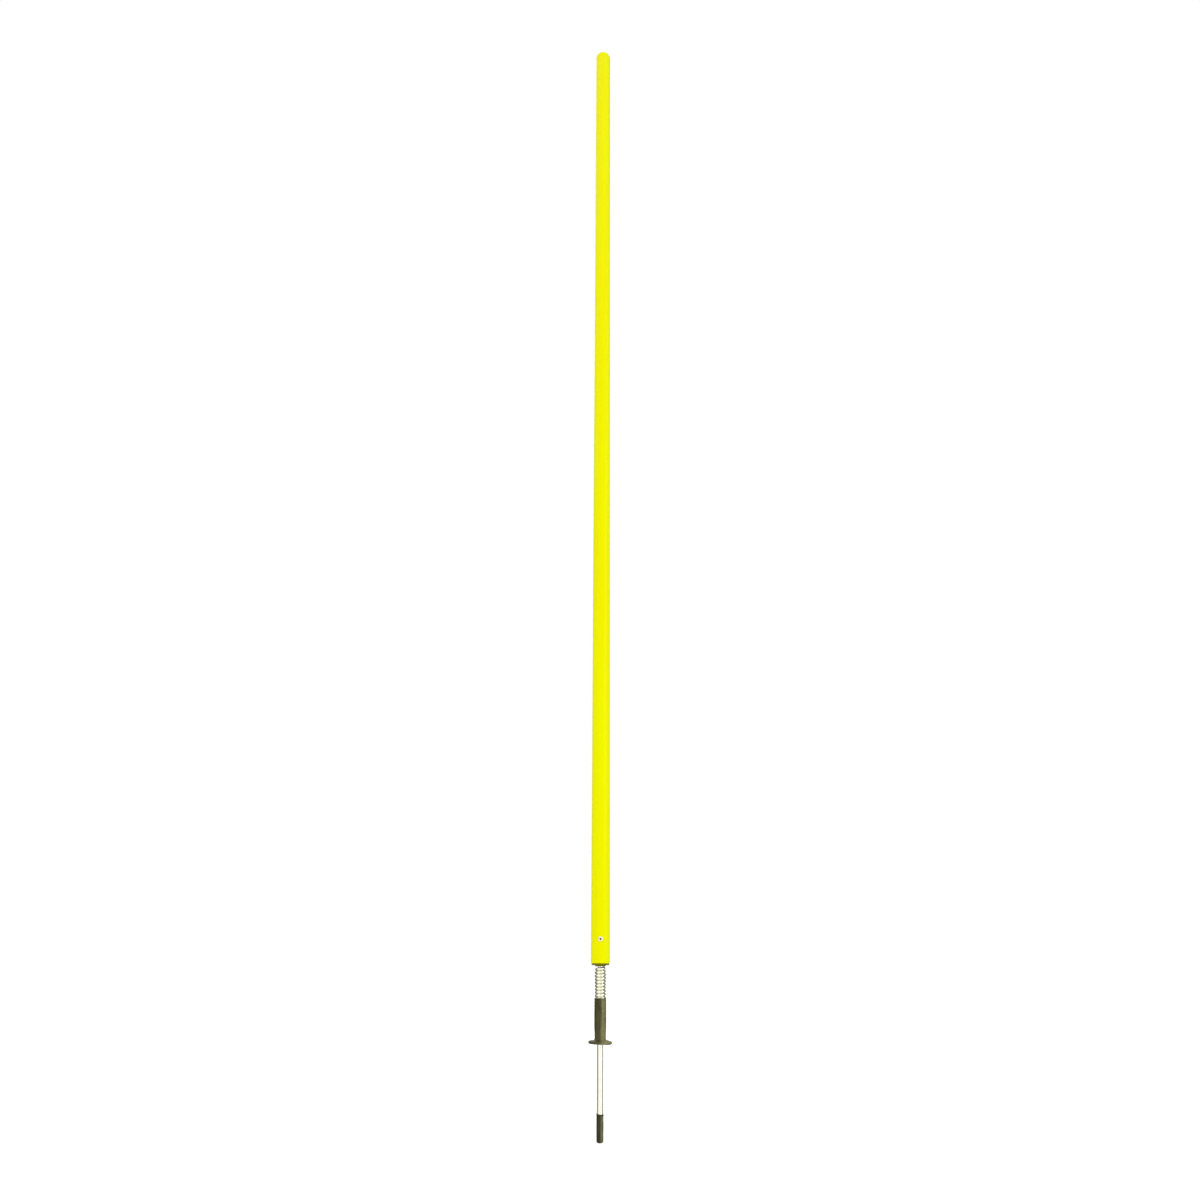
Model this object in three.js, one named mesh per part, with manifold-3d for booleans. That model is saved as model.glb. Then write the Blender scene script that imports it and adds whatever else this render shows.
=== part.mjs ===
// Slalom pole: a yellow plastic tube that stands on a coil spring and a steel ground spike.
// Millimetres, +Z up along the pole. The origin is on the pole's axis at ground level, on the
// underside of the rubber sleeve's flange, so the spike is below zero and the pole above it.
import * as THREE from 'three';
import { mergeVertices } from 'three/addons/utils/BufferGeometryUtils.js';
import Module from 'manifold-3d';

const wasm = await Module();
wasm.setup();

// Clearances and drawing fineness
const seatGap = 0.3;          // between pieces that seat on or in each other
const rubberGap = 0.15;       // rubber stretched over steel
const coilGap = 0.2;          // spring wire round a rod's turned-down end
const cutOverrun = 2;         // how far a cutter passes the face it starts from
const wideSides = 48;         // facets round the tube, cap, plug and flange
const slimSides = 32;         // facets round the rods, cover, washer and rivet
const arcSteps = 6;           // straight steps along a rounded edge of a profile

// Levels above the ground
const sleeveHeight = 55.5;    // ground to the sleeve's upper edge
const springShown = 38.1;     // sleeve's edge to the spring's top
const neckShown = 3.7;        // spring's top to the tube's end
const springFootHeight = 21.5; // ground to the spring's lowest coil

// Tube
const tubeDiameter = 25;
const tubeWall = 1.8;
const tubeLength = 1534;

// Top cap
const capBandHeight = 3.2;    // straight part above the tube's end
const capDomeHeight = 10.5;
const capStemLength = 24;
const capWall = 2.2;
const capRibs = 3;
const capRibProud = 0.15;
const capRibHeight = 2;

// End plug
const plugLength = 45;        // inside the tube
const plugLipDiameter = 22.8;
const plugLipHeight = 1.9;
const plugNoseHeight = 1.2;   // below the lip
const plugNoseTopDiameter = 14.4;
const plugNoseEndDiameter = 12.8;
const plugChamfer = 1.5;

// Rods
const rodDiameter = 8;
const gripDiameter = 7.2;     // the rods' turned-down ends inside the spring
const stubGrip = 7;           // stub rod inside the spring's top coils
const stubEndSpare = 2.5;     // stub rod past its nut
const rodChamfer = 0.8;
const spikeGrip = 12;         // spike rod inside the spring's lower coils
const spikeShown = 81;        // bare rod from the flange to the tip cover
const spikeInCover = 29;      // rod inside the tip cover
const spikePointLength = 9;
const spikePointDiameter = 1.8;

// Washer and nut on top of the plug
const washerDiameter = 16;
const washerThickness = 1.6;
const nutAcrossFlats = 13;
const nutHeight = 6.5;

// Rivet
const rivetAboveEnd = 30.2;   // tube's end to the rivet's axis
const rivetShankDiameter = 4;
const rivetHeadDiameter = 6.6;
const rivetHeadHeight = 1.1;
const rivetShankLength = 5.2; // below the head
const rivetBoreDiameter = 2.4;
const mandrelRecess = 0.35;   // broken stem below the head's crown
const mandrelHeadDiameter = 3.4;
const mandrelHeadLength = 1.2;

// Spring
const wireDiameter = 3.6;
const springPitch = 4.15;
const stepsPerTurn = 8;
const wireSides = 5;

// Ground sleeve
const sleeveWall = 0.45;      // over the spring, where the rubber is stretched
const sleeveFootWall = 3.1;   // round the bare rod, below the spring
const sleeveTaperHeight = 5;  // from the foot's width to the spring's width
const flangeDiameter = 31;
const flangeRimHeight = 3.8;
const flangeRootHeight = 4.8;
const flangeFilletRadius = 2.2;
const sleeveEdgeRadius = 0.25;

// Tip cover
const coverWall = 0.5;
const coverFloor = 2.7;
const coverTipRadius = 2.8;
const coverMouthRadius = 0.3;

// Sizes worked out from those above
const tubeRadius = tubeDiameter / 2;
const tubeBore = tubeRadius - tubeWall;
const rodRadius = rodDiameter / 2;
const gripRadius = gripDiameter / 2;
const wireRadius = wireDiameter / 2;
const rodHole = rodRadius + seatGap;
const springTop = sleeveHeight + springShown;
const tubeEnd = springTop + neckShown;
const tubeTop = tubeEnd + tubeLength;
const plugRadius = tubeBore - seatGap;
const plugTop = tubeEnd + plugLength;
const washerBottom = plugTop + seatGap;
const nutBottom = washerBottom + washerThickness + seatGap;
const rivetHeight = tubeEnd + rivetAboveEnd;
const rivetHole = rivetShankDiameter / 2 + seatGap;
const rivetSeat = tubeRadius + seatGap;
const rivetInnerEnd = rivetSeat - rivetShankLength - seatGap - mandrelHeadLength;
const spikePointLevel = -spikeShown - spikeInCover;
const springFloor = springFootHeight - seatGap;

// A polygon on the circle touches the rod only at the middle of its sides, and the wire's section
// has a flat side inwards, so the coil's radius is taken from both.
const coilRadius = (gripRadius + coilGap) / Math.cos(Math.PI / stepsPerTurn)
  + wireRadius * Math.cos(Math.PI / wireSides);
const springRadius = coilRadius + wireRadius;
const sleeveBore = springRadius + rubberGap;
const sleeveRadius = sleeveBore + sleeveWall;
const footBore = rodRadius + rubberGap;
const footRadius = footBore + sleeveFootWall;

// A finish for each kind of surface
function finish(color, roughness, metalness) {
  return new THREE.MeshStandardMaterial({ color, roughness, metalness });
}
const yellowPlastic = () => finish('#f3ea00', 0.28, 0);
const darkPlastic = () => finish('#34352a', 0.6, 0);
const zincSteel = () => finish('#d9d6c6', 0.32, 0.9);
const springSteel = () => finish('#dedac6', 0.25, 0.95);
const rivetAluminium = () => finish('#dcdccf', 0.4, 0.8);
const mandrelSteel = () => finish('#4a4a46', 0.5, 0.8);
const blackRubber = () => finish('#4b4c33', 0.75, 0);

// Profiles are [radius, height] points listed anticlockwise: up the outside and down the bore.
// The lathe turns about its own Y, so its geometry is then laid over to stand along Z.
function turned(profile, sides) {
  const points = profile.map(([radius, height]) => new THREE.Vector2(radius, height));
  points.push(points[0].clone());
  return new THREE.LatheGeometry(points, sides).rotateX(Math.PI / 2);
}

// Points of a quarter ellipse about a centre, from one angle to another, ends included.
function arc(centreRadius, centreHeight, halfWidth, halfHeight, from, to) {
  return Array.from({ length: arcSteps + 1 }, (_, i) => {
    const angle = from + (to - from) * i / arcSteps;
    return [centreRadius + halfWidth * Math.cos(angle), centreHeight + halfHeight * Math.sin(angle)];
  });
}

const named = (name, geometry, material) => {
  const mesh = new THREE.Mesh(geometry, material);
  mesh.name = name;
  return mesh;
};

// Solids for cutting: only positions are kept, so that shared corners merge.
function solidOf(geometry) {
  const bare = geometry.clone();
  for (const name of Object.keys(bare.attributes)) {
    if (name !== 'position') bare.deleteAttribute(name);
  }
  const merged = mergeVertices(bare);
  const corners = Array.from(merged.index.array);
  const triVerts = [];
  for (let i = 0; i < corners.length; i += 3) {
    const [a, b, c] = corners.slice(i, i + 3);
    if (a !== b && b !== c && c !== a) triVerts.push(a, b, c);
  }
  return new wasm.Manifold(new wasm.Mesh({
    numProp: 3,
    vertProperties: new Float32Array(merged.attributes.position.array),
    triVerts: new Uint32Array(triVerts),
  }));
}

function cut(geometry, ...cutters) {
  const solid = cutters.reduce((left, cutter) => left.subtract(solidOf(cutter)), solidOf(geometry));
  const mesh = solid.getMesh();
  const result = new THREE.BufferGeometry();
  result.setAttribute('position', new THREE.BufferAttribute(mesh.vertProperties, 3));
  result.setIndex(new THREE.BufferAttribute(mesh.triVerts, 1));
  return result;
}

// A drill that comes in from the front (-Y) at the rivet's height and stops at a depth from the axis.
function rivetDrill(stopRadius) {
  const start = tubeRadius + cutOverrun;
  const drill = new THREE.CylinderGeometry(rivetHole, rivetHole, start - stopRadius, slimSides);
  return drill.translate(0, -(start + stopRadius) / 2, rivetHeight);
}

function poleTube() {
  const tube = turned([
    [tubeRadius, tubeEnd],
    [tubeRadius, tubeTop],
    [tubeBore, tubeTop],
    [tubeBore, tubeEnd],
  ], wideSides);
  return cut(tube, rivetDrill(plugRadius));
}

function topCap() {
  const seat = tubeTop + seatGap;
  const domeBase = seat + capBandHeight;
  const stemRadius = tubeBore - seatGap - capRibProud;
  const stemBottom = tubeTop - capStemLength;
  const ribPitch = capStemLength / (capRibs + 1);
  const stem = [[stemRadius, stemBottom]];
  for (let i = 1; i <= capRibs; i += 1) {
    const middle = stemBottom + i * ribPitch;
    stem.push(
      [stemRadius, middle - capRibHeight / 2],
      [stemRadius + capRibProud, middle],
      [stemRadius, middle + capRibHeight / 2],
    );
  }
  const dome = arc(0, domeBase, tubeRadius, capDomeHeight, 0, Math.PI / 2).slice(0, -1);
  return turned([
    ...stem,
    [stemRadius, seat],
    [tubeRadius, seat],
    ...dome,
    [0, domeBase + capDomeHeight],
    [0, domeBase],
    [stemRadius - capWall, domeBase],
    [stemRadius - capWall, stemBottom],
  ], wideSides);
}

function endPlug() {
  const lipTop = tubeEnd - seatGap;
  const lipBottom = lipTop - plugLipHeight;
  const plug = turned([
    [rodHole, lipBottom - plugNoseHeight],
    [plugNoseEndDiameter / 2, lipBottom - plugNoseHeight],
    [plugNoseTopDiameter / 2, lipBottom],
    [plugLipDiameter / 2, lipBottom],
    [plugLipDiameter / 2, lipTop],
    [plugRadius, lipTop],
    [plugRadius, plugTop - plugChamfer],
    [plugRadius - plugChamfer, plugTop],
    [rodHole, plugTop],
  ], wideSides);
  return cut(plug, rivetDrill(rivetInnerEnd - seatGap));
}

function stubRod() {
  const bottom = springTop - stubGrip;
  const shoulder = springTop + seatGap;
  const top = nutBottom + nutHeight + stubEndSpare;
  return turned([
    [0, bottom],
    [gripRadius - rodChamfer, bottom],
    [gripRadius, bottom + rodChamfer],
    [gripRadius, shoulder],
    [rodRadius, shoulder],
    [rodRadius, top - rodChamfer],
    [rodRadius - rodChamfer, top],
    [0, top],
  ], slimSides);
}

function stubWasher() {
  return turned([
    [washerDiameter / 2, washerBottom],
    [washerDiameter / 2, washerBottom + washerThickness],
    [rodHole, washerBottom + washerThickness],
    [rodHole, washerBottom],
  ], slimSides);
}

function stubNut() {
  const corner = nutAcrossFlats / 2 / Math.cos(Math.PI / 6);
  const outline = new THREE.Shape();
  for (let i = 0; i < 6; i += 1) {
    const angle = i * Math.PI / 3;
    const place = [corner * Math.cos(angle), corner * Math.sin(angle)];
    if (i === 0) outline.moveTo(...place);
    else outline.lineTo(...place);
  }
  outline.closePath();
  const hole = new THREE.Path();
  hole.absarc(0, 0, rodHole, 0, Math.PI * 2, true);
  outline.holes.push(hole);
  const prism = new THREE.ExtrudeGeometry(outline, {
    depth: nutHeight, bevelEnabled: false, curveSegments: slimSides / 2,
  });
  return prism.translate(0, 0, nutBottom);
}

// The rivet's own profile stands along Z with its head up; placeRivet() turns the head to the front.
function rivetShell() {
  const head = arc(
    rivetHeadDiameter / 2 - rivetHeadHeight, 0, rivetHeadHeight, rivetHeadHeight, 0, Math.PI / 2,
  );
  return turned([
    [rivetBoreDiameter / 2, -rivetShankLength],
    [rivetShankDiameter / 2, -rivetShankLength],
    [rivetShankDiameter / 2, 0],
    ...head,
    [rivetBoreDiameter / 2, rivetHeadHeight],
  ], slimSides);
}

function rivetMandrel() {
  const stem = rivetBoreDiameter / 2 - seatGap;
  const headTop = -rivetShankLength - seatGap;
  return turned([
    [0, headTop - mandrelHeadLength],
    [mandrelHeadDiameter / 2, headTop - mandrelHeadLength],
    [mandrelHeadDiameter / 2, headTop],
    [stem, headTop],
    [stem, rivetHeadHeight - mandrelRecess],
    [0, rivetHeadHeight - mandrelRecess],
  ], slimSides);
}

const placeRivet = (mesh) => {
  mesh.rotation.x = Math.PI / 2;
  mesh.position.set(0, -rivetSeat, rivetHeight);
  return mesh;
};

// The spring is one unbroken wire. Its centre runs round a circle and climbs steadily:
// (R cos a, R sin a, z0 + pitch a / 2 pi), with eight straight steps to a turn. The first and last
// step are straight for more than a wire's width, and the ends are cut square to them. The wire
// starts at the front, under the sleeve, so that its upper end comes round to the back.
function springCentres() {
  const bottom = springFootHeight + wireRadius;
  const climb = springTop - wireRadius - bottom;
  const steps = Math.round(climb / springPitch * stepsPerTurn);
  return Array.from({ length: steps + 1 }, (_, i) => {
    const angle = i * 2 * Math.PI / stepsPerTurn - Math.PI / 2;
    return new THREE.Vector3(
      coilRadius * Math.cos(angle), coilRadius * Math.sin(angle), bottom + climb * i / steps,
    );
  });
}

function springRings(centres) {
  return centres.map((centre, i) => {
    const before = centres[Math.max(i - 1, 0)];
    const after = centres[Math.min(i + 1, centres.length - 1)];
    const along = after.clone().sub(before).normalize();
    const outwards = new THREE.Vector3(centre.x, centre.y, 0);
    outwards.addScaledVector(along, -outwards.dot(along)).normalize();
    const across = along.clone().cross(outwards);
    return Array.from({ length: wireSides }, (unused, k) => {
      const angle = k * 2 * Math.PI / wireSides;
      return centre.clone()
        .addScaledVector(outwards, wireRadius * Math.cos(angle))
        .addScaledVector(across, wireRadius * Math.sin(angle));
    });
  });
}

// Least distance between surface points of the wire that lie half a turn or more apart along it.
function leastGap(rings) {
  let least = Infinity;
  for (let i = 0; i < rings.length; i += 1) {
    for (let j = i + stepsPerTurn / 2; j < rings.length; j += 1) {
      for (const p of rings[i]) {
        for (const q of rings[j]) least = Math.min(least, p.distanceTo(q));
      }
    }
  }
  return least;
}

function bendSpring() {
  const rings = springRings(springCentres());
  console.log(`Spring: least gap to itself ${leastGap(rings).toFixed(2)} mm, ${rings.length} rings`);
  const positions = rings.flat().flatMap((point) => point.toArray());
  const faces = [];
  for (let i = 0; i + 1 < rings.length; i += 1) {
    for (let k = 0; k < wireSides; k += 1) {
      const a = i * wireSides + k;
      const b = i * wireSides + (k + 1) % wireSides;
      faces.push(a, b, b + wireSides, a, b + wireSides, a + wireSides);
    }
  }
  const last = (rings.length - 1) * wireSides;
  for (let k = 1; k + 1 < wireSides; k += 1) {
    faces.push(0, k + 1, k, last, last + k, last + k + 1);
  }
  const wire = new THREE.BufferGeometry();
  wire.setAttribute('position', new THREE.Float32BufferAttribute(positions, 3));
  wire.setIndex(faces);
  return wire;
}

function spikeRod() {
  const top = springFootHeight + spikeGrip;
  return turned([
    [0, spikePointLevel],
    [spikePointDiameter / 2, spikePointLevel],
    [rodRadius, spikePointLevel + spikePointLength],
    [rodRadius, springFloor],
    [gripRadius, springFloor],
    [gripRadius, top - rodChamfer],
    [gripRadius - rodChamfer, top],
    [0, top],
  ], slimSides);
}

// Thick round the bare rod at its foot, then stretched thin over the coils, with a flange below.
function groundSleeve() {
  const rim = flangeRimHeight / 2;
  const fillet = flangeFilletRadius;
  const filletTop = flangeRootHeight + fillet;
  return turned([
    [footBore, 0],
    ...arc(flangeDiameter / 2 - rim, rim, rim, rim, -Math.PI / 2, Math.PI / 2),
    ...arc(footRadius + fillet, filletTop, fillet, fillet, -Math.PI / 2, -Math.PI),
    [footRadius, springFloor - sleeveTaperHeight],
    [sleeveRadius, springFloor],
    ...arc(sleeveRadius - sleeveEdgeRadius, sleeveHeight - sleeveEdgeRadius,
      sleeveEdgeRadius, sleeveEdgeRadius, 0, Math.PI / 2),
    [sleeveBore, sleeveHeight],
    [sleeveBore, springFloor],
    [footBore, springFloor],
  ], wideSides);
}

function tipCover() {
  const mouth = -spikeShown;
  const bore = rodRadius + rubberGap;
  const outside = bore + coverWall;
  const floor = spikePointLevel - seatGap;
  const bottom = floor - coverFloor;
  return turned([
    [0, bottom],
    ...arc(outside - coverTipRadius, bottom + coverTipRadius,
      coverTipRadius, coverTipRadius, -Math.PI / 2, 0),
    ...arc(outside - coverMouthRadius, mouth - coverMouthRadius,
      coverMouthRadius, coverMouthRadius, 0, Math.PI / 2),
    [bore, mouth],
    [bore, floor],
    [0, floor],
  ], slimSides);
}

const pole = new THREE.Group();
pole.add(
  named('pole_tube', poleTube(), yellowPlastic()),
  named('top_cap', topCap(), yellowPlastic()),
  named('end_plug', endPlug(), darkPlastic()),
  named('stub_rod', stubRod(), zincSteel()),
  named('stub_washer', stubWasher(), zincSteel()),
  named('stub_nut', stubNut(), zincSteel()),
  placeRivet(named('rivet_shell', rivetShell(), rivetAluminium())),
  placeRivet(named('rivet_mandrel', rivetMandrel(), mandrelSteel())),
  named('bend_spring', bendSpring(), springSteel()),
);

const foot = new THREE.Group();
foot.add(
  named('spike_rod', spikeRod(), zincSteel()),
  named('ground_sleeve', groundSleeve(), blackRubber()),
  named('tip_cover', tipCover(), blackRubber()),
);

const slalomPole = new THREE.Group();
slalomPole.add(pole, foot);

export default slalomPole;
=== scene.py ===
# Slalom pole on a sprung ground spike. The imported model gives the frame, and the pieces below dress it.
import bmesh
import bpy
import numpy as np
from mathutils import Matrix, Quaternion, Vector


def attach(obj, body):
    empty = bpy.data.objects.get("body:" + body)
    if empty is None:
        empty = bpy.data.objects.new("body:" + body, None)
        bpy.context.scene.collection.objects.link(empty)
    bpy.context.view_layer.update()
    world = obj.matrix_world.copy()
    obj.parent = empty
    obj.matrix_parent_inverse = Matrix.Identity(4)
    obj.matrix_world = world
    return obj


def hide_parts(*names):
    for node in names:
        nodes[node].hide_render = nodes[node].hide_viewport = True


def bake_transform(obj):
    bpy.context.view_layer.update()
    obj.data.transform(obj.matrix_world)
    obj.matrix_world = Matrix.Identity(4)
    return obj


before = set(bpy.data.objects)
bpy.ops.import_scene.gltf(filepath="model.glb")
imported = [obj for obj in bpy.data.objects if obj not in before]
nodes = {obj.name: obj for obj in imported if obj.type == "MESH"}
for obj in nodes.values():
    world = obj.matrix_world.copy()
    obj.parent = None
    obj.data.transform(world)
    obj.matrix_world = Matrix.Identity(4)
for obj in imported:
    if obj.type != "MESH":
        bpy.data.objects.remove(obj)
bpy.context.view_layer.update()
mm = 0.001
fullTurn = 2 * np.pi
print("frame loaded:", len(nodes), "nodes")

# Levels along the pole, mm above the ground
levels = {
    "coverBottom": -112.9, "pointEnd": -110.0, "coverMouth": -81.0,
    "springFloor": 21.2, "spikeTop": 33.5, "sleeveTop": 55.5,
    "stubBottom": 86.6, "springTop": 93.6, "tubeEnd": 97.3, "rivet": 127.5,
    "plugTop": 142.3, "stubTop": 153.5, "tubeTop": 1631.3,
}
# Folds above these angles, in degrees, stay sharp
foldAngle = 38.0
softFoldAngle = 50.0


# The camera, the floor and the lights
cameraLook = {
    "place": (-0.0022, -1.4275, 0.0979),
    "tiltUp": 19.41,          # degrees above level
    "roll": 0.2,
    "lens": 30.9,
    "sensor": 36.0,
    "nearest": 0.01,
}
studioLook = {
    "floorLevel": -0.160,     # just clear of the tip cover when it is pulled off
    "floorSize": 40.0,
    "floorShade": 0.8,
    "floorGlow": 0.42,        # brings the lit floor to white for the camera
    "worldLight": 0.70,
    "lampDistance": 2.0,
    "sideShade": 0.80,        # how much darker metal sees the left of the studio
    "rightLift": 0.12,        # and how much of that the right side is spared
    "rightSide": (-0.4, 0.4),   # where the left side turns into the right one
    "walls": (-0.80, 0.14),   # the sides set in here, from -1 in front to 1 behind
    "stripBehind": (0.985, 0.90),   # and end here, at the white strip
    "ceilingShade": 0.6,      # how much darker glossy surfaces see the ceiling
    "ceiling": (0.40, 0.80),  # where it sets in, 0 at eye level and 1 overhead
}
lamps = [
    # name, towards the lamp (x, y, z), strength, angle in degrees, colour
    ("keyLamp", (0.82, -0.58, 0.14), 0.97, 36, (0.96, 0.99, 0.96)),
    ("fillLamp", (-0.80, -0.70, 0.45), 0.84, 80, (1.0, 0.91, 0.82)),
    ("backLamp", (-0.35, 0.75, 1.10), 0.55, 50, (1.0, 1.0, 1.0)),
]


# A wire is one output socket. Sums and products of wires add Math nodes.
class Wire:
    def __init__(self, paint, socket):
        self.paint = paint
        self.socket = socket

    def maths(self, operation, *values):
        return self.paint.node("Math", {"operation": operation}, dict(enumerate(values)))

    def __add__(self, other):
        return self.maths("ADD", self, other)

    def __sub__(self, other):
        return self.maths("SUBTRACT", self, other)

    def __rsub__(self, other):
        return self.maths("SUBTRACT", other, self)

    def __mul__(self, other):
        return self.maths("MULTIPLY", self, other)

    __radd__ = __add__
    __rmul__ = __mul__

    def size(self):
        return self.maths("ABSOLUTE", self)

    def larger(self, other):
        return self.maths("MAXIMUM", self, other)


# Paint holds one node tree, of a material or of the world.
class Paint:
    def __init__(self, tree):
        self.tree = tree
        tree.nodes.clear()

    # any node: its type, its settings first, then the values or wires of its sockets
    def node(self, kind, settings=None, sockets=None, out=0):
        made = self.tree.nodes.new("ShaderNode" + kind)
        for key, value in (settings or {}).items():
            setattr(made, key, value)
        for key, value in (sockets or {}).items():
            if isinstance(value, Wire):
                self.tree.links.new(value.socket, made.inputs[key])
            else:
                made.inputs[key].default_value = value
        return Wire(self, made.outputs[out]) if len(made.outputs) else None

    def mix(self, share, first, second):
        return self.node("Mix", {"data_type": "RGBA"}, {0: share, 6: first, 7: second}, out=2)

    # 0 below low, 1 above high, smooth between; low may be the larger one, for a fall
    def step(self, value, low, high):
        settings = {"interpolation_type": "SMOOTHSTEP"}
        if low < high:
            return self.node("MapRange", settings, {"Value": value, 1: low, 2: high, 3: 0.0, 4: 1.0})
        return self.node("MapRange", settings, {"Value": value, 1: high, 2: low, 3: 1.0, 4: 0.0})

    def place(self, kind="Object"):
        return self.node("TexCoord", out={"Generated": 0, "UV": 2, "Object": 3}[kind])

    def axes(self, vector):
        made = self.node("SeparateXYZ", None, {0: vector})
        return [Wire(self, socket) for socket in made.socket.node.outputs]

    def vector(self, operation, first, second, out=0):
        return self.node("VectorMath", {"operation": operation}, {0: first, 1: second}, out)

    # the direction from the origin with its rise left out, 1 long
    def levelled(self, direction):
        flat = self.vector("MULTIPLY", direction, (1, 1, 0))
        return self.node("VectorMath", {"operation": "NORMALIZE"}, {0: flat})

    # noise whose grains per metre differ along x, y and z, about 0 to 1; the shift keeps patterns apart
    def grain(self, stretch, detail=2.0, shift=0.0, kind="Object"):
        scaled = self.node("VectorMath", {"operation": "MULTIPLY_ADD"},
                           {0: self.place(kind), 1: stretch, 2: (shift, shift, shift)})
        return self.node("TexNoise", None, {"Vector": scaled, "Scale": 1.0, "Detail": detail})

    # a bump as deep as a look says, in metres
    def bump(self, height, look):
        return self.node("Bump", None, {
            "Height": height, "Distance": look["bumpDepth"], "Strength": look["bumpShare"]})


def colourOf(red, green, blue):
    # a colour as a picture editor shows it, 0 to 255, made linear by the sRGB curve
    share = np.array([red, green, blue]) / 255
    linear = np.where(share <= 0.04045, share / 12.92, ((share + 0.055) / 1.055) ** 2.4)
    return (*linear.tolist(), 1.0)


def newMaterial(name):
    material = bpy.data.materials.new(name)
    material.use_nodes = True
    return material, Paint(material.node_tree)


def finishMaterial(material, paint, sockets):
    shader = paint.node("BsdfPrincipled", None, sockets)
    paint.node("OutputMaterial", None, {"Surface": shader})
    return material


def makeCamera():
    data = bpy.data.cameras.new("photoCamera")
    data.lens = cameraLook["lens"]
    data.sensor_width = cameraLook["sensor"]
    data.clip_start = cameraLook["nearest"]
    camera = bpy.data.objects.new("photoCamera", data)
    bpy.context.scene.collection.objects.link(camera)
    tilt = np.radians(cameraLook["tiltUp"])
    ahead = Vector((0, np.cos(tilt), np.sin(tilt)))
    roll = Quaternion((0, 0, 1), np.radians(cameraLook["roll"]))
    camera.rotation_mode = "QUATERNION"
    camera.rotation_quaternion = ahead.to_track_quat("-Z", "Y") @ roll
    camera.location = cameraLook["place"]
    bpy.context.scene.camera = camera


def makeLamps():
    for name, towards, strength, angle, colour in lamps:
        data = bpy.data.lights.new(name, "SUN")
        data.energy = strength
        data.angle = np.radians(angle)
        data.color = colour
        lamp = bpy.data.objects.new(name, data)
        lamp.rotation_mode = "QUATERNION"
        lamp.rotation_quaternion = Vector(towards).to_track_quat("Z", "Y")
        lamp.location = Vector(towards) * studioLook["lampDistance"]
        bpy.context.scene.collection.objects.link(lamp)


# How bright the studio looks to metal, by the level direction from the pole: white in front, a
# white strip behind, and darker sides between them, the left one darker than the right one.
def studioSides(paint, direction):
    across, depth = paint.axes(paint.levelled(direction))[:2]
    walls = paint.step(depth, *studioLook["walls"]) * paint.step(depth, *studioLook["stripBehind"])
    right = paint.step(across, *studioLook["rightSide"])
    return 1 - walls * (studioLook["sideShade"] - studioLook["rightLift"] * right)


# White for the camera, a plain level for light, and the studio's sides for metal.
def makeWorld():
    world = bpy.data.worlds.new("studioWorld")
    world.use_nodes = True
    bpy.context.scene.world = world
    paint = Paint(world.node_tree)
    ray = paint.node("LightPath").socket.node.outputs
    glossy = Wire(paint, ray["Is Glossy Ray"])
    seen = Wire(paint, ray["Is Camera Ray"]).larger(Wire(paint, ray["Is Transmission Ray"]))
    direction = paint.place("Generated")
    ceiling = paint.step(paint.axes(direction)[2], *studioLook["ceiling"])
    mirrored = studioSides(paint, direction) * (1 - ceiling * studioLook["ceilingShade"])
    other = glossy * mirrored + (1 - glossy) * studioLook["worldLight"]
    level = seen + (1 - seen) * other
    sky = paint.node("Background", None, {"Color": (1, 1, 1, 1), "Strength": level})
    paint.node("OutputWorld", None, {"Surface": sky})


# A plain white floor that shows metal the same sides as the world does.
def makeFloor():
    half, level = studioLook["floorSize"] / 2, studioLook["floorLevel"]
    corners = [(-half, -half, level), (half, -half, level), (half, half, level), (-half, half, level)]
    mesh = bpy.data.meshes.new("floor")
    mesh.from_pydata(corners, [], [(0, 1, 2, 3)])
    floor = bpy.data.objects.new("floor", mesh)
    bpy.context.scene.collection.objects.link(floor)
    material, paint = newMaterial("floorPale")
    ray = paint.node("LightPath").socket.node.outputs
    seen = Wire(paint, ray["Is Camera Ray"]).larger(Wire(paint, ray["Is Transmission Ray"]))
    shade, white = studioLook["floorShade"], (1, 1, 1, 1)
    paper = paint.node("BsdfDiffuse", None, {"Color": (shade, shade, shade, 1)})
    glow = paint.node("Emission", None, {"Color": white, "Strength": seen * studioLook["floorGlow"]})
    lit = paint.node("AddShader", None, {0: paper, 1: glow})
    sides = studioSides(paint, paint.place())
    mirrored = paint.node("Emission", None, {"Color": white, "Strength": sides})
    both = paint.node("MixShader", None, {0: Wire(paint, ray["Is Glossy Ray"]), 1: lit, 2: mirrored})
    paint.node("OutputMaterial", None, {"Surface": both})
    mesh.materials.append(material)


bpy.context.scene.view_settings.view_transform = "Standard"
makeCamera()
makeLamps()
makeWorld()
makeFloor()
print("stage ready")


# Quads between neighbouring rows and columns of a grid of points, closed round where asked.
def gridFaces(rows, columns, rowLoop, columnLoop):
    row, column = np.meshgrid(np.arange(rows if rowLoop else rows - 1),
                              np.arange(columns if columnLoop else columns - 1), indexing="ij")
    nextRow, nextColumn = (row + 1) % rows, (column + 1) % columns
    corners = [row * columns + column, row * columns + nextColumn,
               nextRow * columns + nextColumn, nextRow * columns + column]
    return np.stack(corners, axis=-1).reshape(-1, 4)


# A new object from points in mm and lists of faces, with outward normals and sharp folds.
def newPiece(name, points, faces, material, body=None, sharpAbove=foldAngle):
    mesh = bpy.data.meshes.new(name)
    mesh.from_pydata((np.asarray(points) * mm).tolist(), [], faces)
    work = bmesh.new()
    work.from_mesh(mesh)
    bmesh.ops.recalc_face_normals(work, faces=work.faces)
    work.to_mesh(mesh)
    work.free()
    smoothPiece(mesh, sharpAbove)
    mesh.materials.append(material)
    piece = bpy.data.objects.new(name, mesh)
    bpy.context.scene.collection.objects.link(piece)
    if body:
        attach(piece, body)
    return piece


def smoothPiece(mesh, sharpAbove):
    mesh.polygons.foreach_set("use_smooth", np.ones(len(mesh.polygons), dtype=bool))
    mesh.set_sharp_from_angle(angle=np.radians(sharpAbove))


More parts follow.
